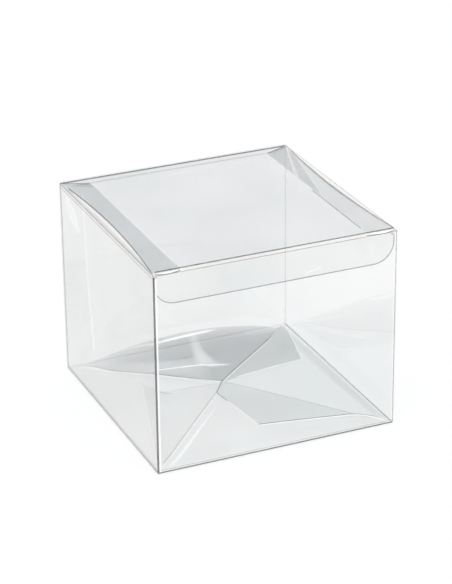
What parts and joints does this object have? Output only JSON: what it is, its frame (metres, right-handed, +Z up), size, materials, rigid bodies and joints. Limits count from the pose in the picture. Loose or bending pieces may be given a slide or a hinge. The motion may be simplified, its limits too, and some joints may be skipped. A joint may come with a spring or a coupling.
{
  "type": "clear folding carton",
  "caption": "Clear plastic folding carton with a tuck-in lid over dust flaps, a glued side seam and a crash-lock bottom.",
  "frame": {"origin": "middle of the box in plan, on the plane that it stands on", "axes": "+Z up; the front wall, behind which the lid tucks in, faces -Y; the lid is creased to the back wall at +Y; +X is the right side seen from the front"},
  "size_m": [0.12, 0.12, 0.1],
  "materials": {
    "clear_pet": "clear and glossy, faintly grey where layers lie on each other"
  },
  "bodies": {
    "carton": {"front_wall": "clear_pet", "right_wall": "clear_pet", "back_wall": "clear_pet", "left_wall": "clear_pet", "glue_flap": "clear_pet", "bottom_front_flap": "clear_pet", "bottom_back_flap": "clear_pet", "bottom_right_flap": "clear_pet", "bottom_left_flap": "clear_pet", "bottom_front_glue_tab": "clear_pet", "bottom_back_glue_tab": "clear_pet"},
    "lid": {"lid": "clear_pet"},
    "tuck_flap": {"tuck_flap": "clear_pet"},
    "left_dust_flap": {"left_dust_flap": "clear_pet"},
    "right_dust_flap": {"right_dust_flap": "clear_pet"}
  },
  "joints": [
    {"name": "lid_hinge", "type": "hinge", "parent": "carton", "child": "lid", "pos_m": [0, 0.06, 0.0992], "axis": [-1, 0, 0], "range_deg": [0, 225]},
    {"name": "tuck_hinge", "type": "hinge", "parent": "lid", "child": "tuck_flap", "pos_m": [0, -0.05804, 0.0989], "axis": [1, 0, 0], "range_deg": [0, 60], "stiffness_Nm_per_rad": 0.0002, "springref_deg": -45.84},
    {"name": "left_dust_hinge", "type": "hinge", "parent": "carton", "child": "left_dust_flap", "pos_m": [-0.0597, 0, 0.0983], "axis": [0, 1, 0], "range_deg": [0, 85], "stiffness_Nm_per_rad": 0.0002, "springref_deg": -45.84},
    {"name": "right_dust_hinge", "type": "hinge", "parent": "carton", "child": "right_dust_flap", "pos_m": [0.0597, 0, 0.0983], "axis": [0, -1, 0], "range_deg": [0, 85], "stiffness_Nm_per_rad": 0.0002, "springref_deg": -45.84}
  ]
}
